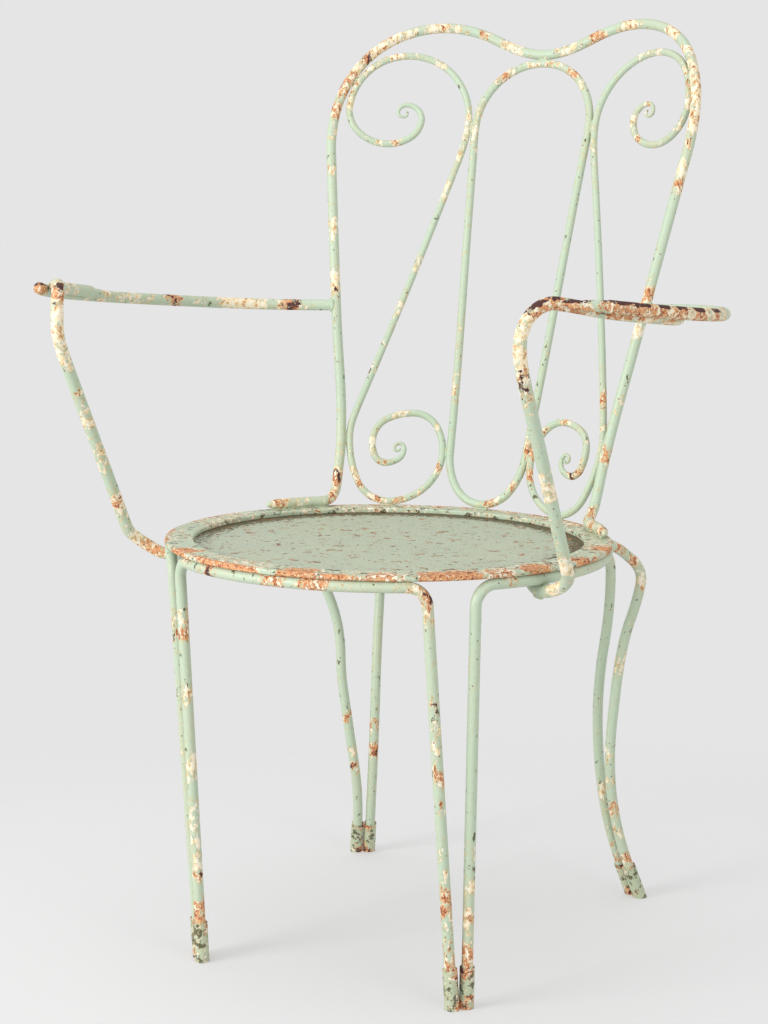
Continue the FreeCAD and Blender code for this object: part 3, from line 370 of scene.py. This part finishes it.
    # The coat with its stains and grime, then primer, rust, bare iron and pinholes over it.
    tone = blend(ramp(broad, 0.4, 0.7, 0.0, 0.8), linear(coat), linear(FADED))
    stain = maths("MULTIPLY", ramp(above, -0.09, 0.0, 0.0, 0.6), ramp(spread, 0.42, 0.58))
    stained = blend(stain, tone, linear(RUST_STAIN))
    film = blend(maths("MULTIPLY", ramp(fine, 0.4, 0.75), 0.1 + grimy * 0.5), stained,
                 linear(GRIME))
    film = blend(ramp(scab, 0.66 - grimy * 0.2, 0.69 - grimy * 0.2), film, linear(LICHEN))
    rusty = maths("ADD", spread, maths("MULTIPLY", rust_wear, 0.1))
    undercoat = blend(ramp(rusty, 0.42, 0.62), linear(PRIMER), linear(STAINED_PRIMER))
    rust_tone = blend(ramp(middle, 0.46, 0.6), linear(ORANGE_RUST), linear(DEEP_RUST))
    rust_tone = blend(ramp(fine, 0.52, 0.62), rust_tone, linear(STAINED_PRIMER))
    colour = blend(primer, film, undercoat)
    colour = blend(rust, colour, rust_tone)
    colour = blend(bare, colour, linear(BARE_IRON))
    colour = blend(maths("MULTIPLY", pin_rust, 0.8), colour, linear(PIN_RUST))
    bumps = maths("MULTIPLY", middle, 0.5)
    gathered = 0.0
    if dimpled:
        # Grime and rust that gathered on the sheet at the rim's foot, most at the back.
        at_rim = ramp(from_axis, 0.146, 0.18)
        backwards = add(tree, "ShaderNodeSeparateXYZ", {0: place}).outputs[1]
        at_rim = maths("MULTIPLY", at_rim, ramp(backwards, -0.2, -0.05, 0.3, 1.0))
        gathered = ramp(maths("ADD", ragged, maths("MULTIPLY", at_rim, 0.28)), 0.6, 0.68)
        speck = blend(ramp(spread, 0.5, 0.56), linear(SHEET_GRIME), linear(SHEET_RUST))
        colour = blend(maths("MULTIPLY", gathered, 0.9), colour, speck)

        # The sheet has a fine dimpled pattern, about 2.4 mm from dimple to dimple, with painted
        # shade in each dimple's hollow, darker near the rim, and pits of rust 4 to 8 mm across
        # where the coat blistered.
        weave = add(tree, "ShaderNodeTexVoronoi", {
            "Vector": place, "Scale": 420, "Randomness": 0.4}, voronoi_dimensions="2D")
        dimple = ramp(weave.outputs["Distance"], 0.1, 0.5)
        # Painted shade: each dimple's hollow is darkened, more strongly near the rim.
        shade_depth = maths("ADD", 0.28, maths("MULTIPLY", at_rim, 0.55))
        colour = blend(maths("MULTIPLY", maths("SUBTRACT", 1.0, dimple), shade_depth), colour,
                       linear(DIMPLE_PAINTED_SHADE))
        for cells, share, low, high in ((48, 0.5, 0.05, 0.24), (105, 0.7, 0.06, 0.26)):
            pits = add(tree, "ShaderNodeTexVoronoi", {"Vector": pushed, "Scale": cells},
                       voronoi_dimensions="2D")
            pitted = add(tree, "ShaderNodeSeparateColor", {0: pits.outputs["Color"]}).outputs[1]
            pit = maths("MULTIPLY", ramp(pits.outputs["Distance"], low, high, 1.0, 0.0),
                        ramp(pitted, share, share + 0.02))
            pit = ramp(maths("ADD", pit, maths("MULTIPLY", fine, 0.8)), 0.85, 1.05)
            colour = blend(pit, colour, blend(ramp(scab, 0.45, 0.55), linear(PIT_RUST),
                                              linear(PIT_DUST)))
        bumps = maths("ADD", bumps, maths("MULTIPLY", dimple, 0.8))

    # Primer, rust and grime are duller than the coat. Rust and scabs stand up from the bar,
    # and chipped places lie lower than the coat.
    dull = maths("MAXIMUM", maths("MAXIMUM", primer, rust), gathered)
    roughness = maths("ADD", ramp(middle, 0.3, 0.7, 0.42, 0.54), maths("MULTIPLY", dull, 0.35))
    height = maths("SUBTRACT", maths("MULTIPLY", maths("MAXIMUM", rust, bare), maths(
        "MULTIPLY", fine, 1.2)), maths("MULTIPLY", primer, 0.7))
    height = maths("ADD", height, bumps)
    bump = add(tree, "ShaderNodeBump", {"Height": height, "Strength": 0.7, "Distance": 0.0006})
    skin = add(tree, "ShaderNodeBsdfPrincipled", {
        "Base Color": colour, "Roughness": roughness, "Normal": bump.outputs[0],
        "Specular IOR Level": ramp(dull, 0.0, 1.0, 0.5, 0.15), "IOR": 1.5, "Metallic": 0.0})
    add(tree, "ShaderNodeOutputMaterial", {"Surface": skin.outputs[0]})
    return material


enamel_back = old_enamel("old_brushed_sage_enamel_back", BACK_WEAR, 0.6, 0.0, 0.05,
                         grain=(1.1, 1.1, 0.6))
enamel_arms = old_enamel("old_brushed_sage_enamel_arms", ARM_WEAR, 0.9, 0.0, 0.05,
                         grain=(1.1, 0.7, 0.9))
enamel_legs = old_enamel("old_brushed_sage_enamel_legs", LEG_WEAR, 0.45, 0.3, 0.1,
                         grain=(1.1, 1.1, 0.6))
enamel_rim = old_enamel("old_brushed_sage_enamel_rim", RIM_WEAR, 1.3, 1.3, 0.5,
                        rim_edge=True)
enamel_feet = old_enamel("grimy_sage_enamel_feet", FOOT_WEAR, 0.9, 1.1, 0.62, coat="#B8C2A4")
enamel_sheet = old_enamel("old_brushed_sage_enamel_sheet", {}, 0.2, 0.6, 0.1, coat="#BAC3AD",
                          dimpled=True)
enamel_welds = old_enamel("old_brushed_sage_enamel_welds", ARM_WEAR, 0.9, 0.2, 0.1,
                          grain=(1.1, 0.7, 0.9))

FINISH = {"back": enamel_back, "scroll": enamel_back, "arm": enamel_arms,
          "hairpin": enamel_legs, "sleeve": enamel_feet, "seat_rim": enamel_rim,
          "seat_panel": enamel_sheet}
for name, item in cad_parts.items():
    for start, material in FINISH.items():
        if name.startswith(start):
            item.data.materials.clear()
            item.data.materials.append(material)


# Welds: where two bars touch, a bead of weld metal follows the line between them. A bead's
# thickness is its radius, in millimetres.

def touching(first, second, reach=1.0):
    """Places where the second piece lies within reach (mm) of the first, midway between."""
    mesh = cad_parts[first].data
    skin = BVHTree.FromPolygons([v.co for v in mesh.vertices], [p.vertices for p in mesh.polygons])
    low, high = (Vector(corner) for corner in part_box(first))
    places = []
    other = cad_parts[second].data
    for edge in other.edges:
        start, end = (other.vertices[i].co for i in edge.vertices)
        steps = max(1, math.ceil((end - start).length / (1.5 * MM)))
        for i in range(steps + 1):
            point = start.lerp(end, i / steps)
            if all(low[k] - MM < point[k] < high[k] + MM for k in range(3)):
                near = skin.find_nearest(point, reach * MM)[0]
                if near is not None:
                    places.append((point + near) / 2)
    return places


def groups(places, gap=12):
    """The places in groups that lie further than gap (mm) from each other."""
    finder = KDTree(len(places))
    for i, place in enumerate(places):
        finder.insert(place, i)
    finder.balance()
    left = set(range(len(places)))
    found = []
    while left:
        waiting = [left.pop()]
        group = []
        while waiting:
            i = waiting.pop()
            group.append(places[i])
            for _, j, _ in finder.find_range(places[i], gap * MM):
                if j in left:
                    left.remove(j)
                    waiting.append(j)
        found.append(group)
    return found


def seam(group, step=3.0):
    """The middle line of a group of places, end to end, with a point in every step (mm)."""
    centre = sum(group, Vector()) / len(group)
    first = max(group, key=lambda p: (p - centre).length)
    last = max(group, key=lambda p: (p - first).length)
    length = (last - first).length
    if length < 2 * MM:
        return []
    along = (last - first) / length
    bins = {}
    for p in group:
        bins.setdefault(int((p - first).dot(along) / (step * MM)), []).append(p)
    return [sum(bins[i], Vector()) / len(bins[i]) for i in sorted(bins)]


def collar(group, axis_point, along, count=20):
    """The outer edge of a group of places round an axis, as a ring."""
    side = along.orthogonal().normalized()
    other = along.cross(side)
    bins = {}
    for p in group:
        flat = p - axis_point
        angle = math.atan2(flat.dot(other), flat.dot(side))
        i = int((angle / math.tau) % 1 * count)
        reach = (flat - along * flat.dot(along)).length
        if i not in bins or reach > bins[i][0]:
            bins[i] = (reach, p)
    return [bins[i][1] for i in sorted(bins)]


def thin_ended(line, thickness):
    """The line's places, each with its thickness in mm, less at both ends."""
    last = len(line) - 1
    return [(place, thickness * (0.45 if i in (0, last) else 1.0))
            for i, place in enumerate(line)]


BOW_MIDDLE_Y = -84.4


def on_bow(side, radius, degrees, height):
    """A place at a radius and plan angle in front of the side, round the armrests' middle."""
    angle = math.radians(degrees)
    return side * radius * math.cos(angle), BOW_MIDDLE_Y - radius * math.sin(angle), height


beads = []
for first, second, thickness in (
        ("back_frame", "back_loop", 2.5), ("back_frame", "scroll_left", 2.3),
        ("back_frame", "scroll_right", 2.3), ("back_loop", "scroll_left", 2.1),
        ("back_loop", "scroll_right", 2.1), ("seat_rim", "back_frame", 2.6),
        ("seat_rim", "back_loop", 2.4), ("seat_rim", "scroll_left", 2.4),
        ("seat_rim", "scroll_right", 2.4), ("arm_bow_left", "arm_support_left", 3.3),
        ("arm_bow_right", "arm_support_right", 3.3), ("hairpin_left", "arm_support_left", 3.2),
        ("hairpin_right", "arm_support_right", 3.2)):
    for group in groups(touching(first, second)):
        beads.append((thin_ended(seam(group), thickness), False))
for side in ("left", "right"):
    for group in groups(touching("back_frame", "arm_bow_" + side)):
        middle = sum(group, Vector()) / len(group)
        inwards = Vector((-1 if side == "left" else 1, 0.8, 0)).normalized()
        beads.append(([(place, 1.8) for place in collar(group, middle, inwards)], True))

LUMPS = (
    # Two lumps of weld metal fill the corner under the left hook.
    (((176, -138, 372), 2.0), ((181, -140, 366), 4.5), ((186, -142, 363), 2.0)),
    (((178, -136, 377), 1.8), ((186, -139, 374), 4.0), ((192, -142, 374), 1.8)),
    # The left armrest's tip is faired into its support.
    ((on_bow(1, 304, 26.5, 617.4), 5.3), (on_bow(1, 301, 28.6, 618.2), 4.8),
     (on_bow(1, 296.5, 30.8, 618.6), 4.2), (on_bow(1, 291, 33.2, 619.6), 3.6),
     (on_bow(1, 288.5, 35.2, 619.8), 3.0)),
    # The right support's end is faired into its armrest.
    ((on_bow(-1, 294.7, 9, 607.6), 5.2), (on_bow(-1, 295.8, 6, 606.0), 5.1),
     (on_bow(-1, 297.5, 3, 604.4), 4.6), (on_bow(-1, 299.4, 0, 602.5), 4.2),
     (on_bow(-1, 301.1, -3, 600.5), 3.6), (on_bow(-1, 302.6, -6, 599.1), 3.0)))
for lump in LUMPS:
    beads.append(([(Vector(place) * MM, thickness) for place, thickness in lump], False))


def bead_tree(material):
    """Turns edges into beads. Its sizes: the spacing of the ripples and their height."""
    tree = bpy.data.node_groups.new("weld_bead", "GeometryNodeTree")
    tree.interface.new_socket("Geometry", in_out="INPUT", socket_type="NodeSocketGeometry")
    for name, value in (("Step", 0.8 * MM), ("Lump", 0.5 * MM)):
        socket = tree.interface.new_socket(name, in_out="INPUT", socket_type="NodeSocketFloat")
        socket.default_value = value
    tree.interface.new_socket("Geometry", in_out="OUTPUT", socket_type="NodeSocketGeometry")
    given = add(tree, "NodeGroupInput")
    thick = add(tree, "GeometryNodeInputNamedAttribute", {"Name": "thickness"})
    lines = add(tree, "GeometryNodeMeshToCurve", {"Mesh": given.outputs["Geometry"]})
    even = add(tree, "GeometryNodeResampleCurve", {
        "Curve": lines.outputs[0], "Length": given.outputs["Step"]}, mode="LENGTH")
    round_bar = add(tree, "GeometryNodeCurvePrimitiveCircle", {"Resolution": 12, "Radius": 1.0})
    tube = add(tree, "GeometryNodeCurveToMesh", {
        "Curve": even.outputs[0], "Profile Curve": round_bar.outputs[0], "Fill Caps": True,
        "Scale": thick.outputs[0]})

    # Ripples about 2.4 mm long. The noise keeps within a quarter of its middle, so it is
    # stretched four times to reach the ripples' height.
    lumps = add(tree, "ShaderNodeTexNoise", {"Scale": 420.0, "Detail": 2.0})
    centred = add(tree, "ShaderNodeMath", {0: lumps.outputs[0], 1: 0.5}, operation="SUBTRACT")
    height = add(tree, "ShaderNodeMath", {0: centred.outputs[0], 1: given.outputs["Lump"]},
                 operation="MULTIPLY")
    height = add(tree, "ShaderNodeMath", {0: height.outputs[0], 1: 4.0}, operation="MULTIPLY")
    outwards = add(tree, "GeometryNodeInputNormal")
    shift = add(tree, "ShaderNodeVectorMath", {
        0: outwards.outputs[0], "Scale": height.outputs[0]}, operation="SCALE")
    lumpy = add(tree, "GeometryNodeSetPosition", {
        "Geometry": tube.outputs[0], "Offset": shift.outputs[0]})
    smooth = add(tree, "GeometryNodeSetShadeSmooth", {"Geometry": lumpy.outputs[0]})
    real = add(tree, "GeometryNodeRealizeInstances", {"Geometry": smooth.outputs[0]})
    painted = add(tree, "GeometryNodeSetMaterial", {
        "Geometry": real.outputs[0], "Material": material})
    add(tree, "NodeGroupOutput", {"Geometry": painted.outputs[0]})
    return tree


points, edges, thicknesses = [], [], []
for line, ring in beads:
    if len(line) < 2:
        continue
    start = len(points)
    for i, (point, thickness) in enumerate(line):
        points.append(point)
        thicknesses.append(thickness * MM)
        if i:
            edges.append((start + i - 1, start + i))
    if ring:
        edges.append((len(points) - 1, start))
bead_mesh = bpy.data.meshes.new("weld_lines")
bead_mesh.from_pydata(points, edges, [])
given_thickness = bead_mesh.attributes.new("thickness", "FLOAT", "POINT")
given_thickness.data.foreach_set("value", thicknesses)
weld_lines = bpy.data.objects.new("weld_lines", bead_mesh)
scene.collection.objects.link(weld_lines)
modifier = weld_lines.modifiers.new("weld_bead", "NODES")
modifier.node_group = bead_tree(enamel_welds)
lines_seen = bpy.context.evaluated_depsgraph_get()
bead_solid = bpy.data.meshes.new_from_object(weld_lines.evaluated_get(lines_seen),
                                             preserve_all_data_layers=False,
                                             depsgraph=lines_seen)
weld_lines.modifiers.remove(modifier)
bpy.data.objects.remove(weld_lines)
welds = bpy.data.objects.new("weld_beads", bead_solid)
scene.collection.objects.link(welds)
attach(welds, "root")
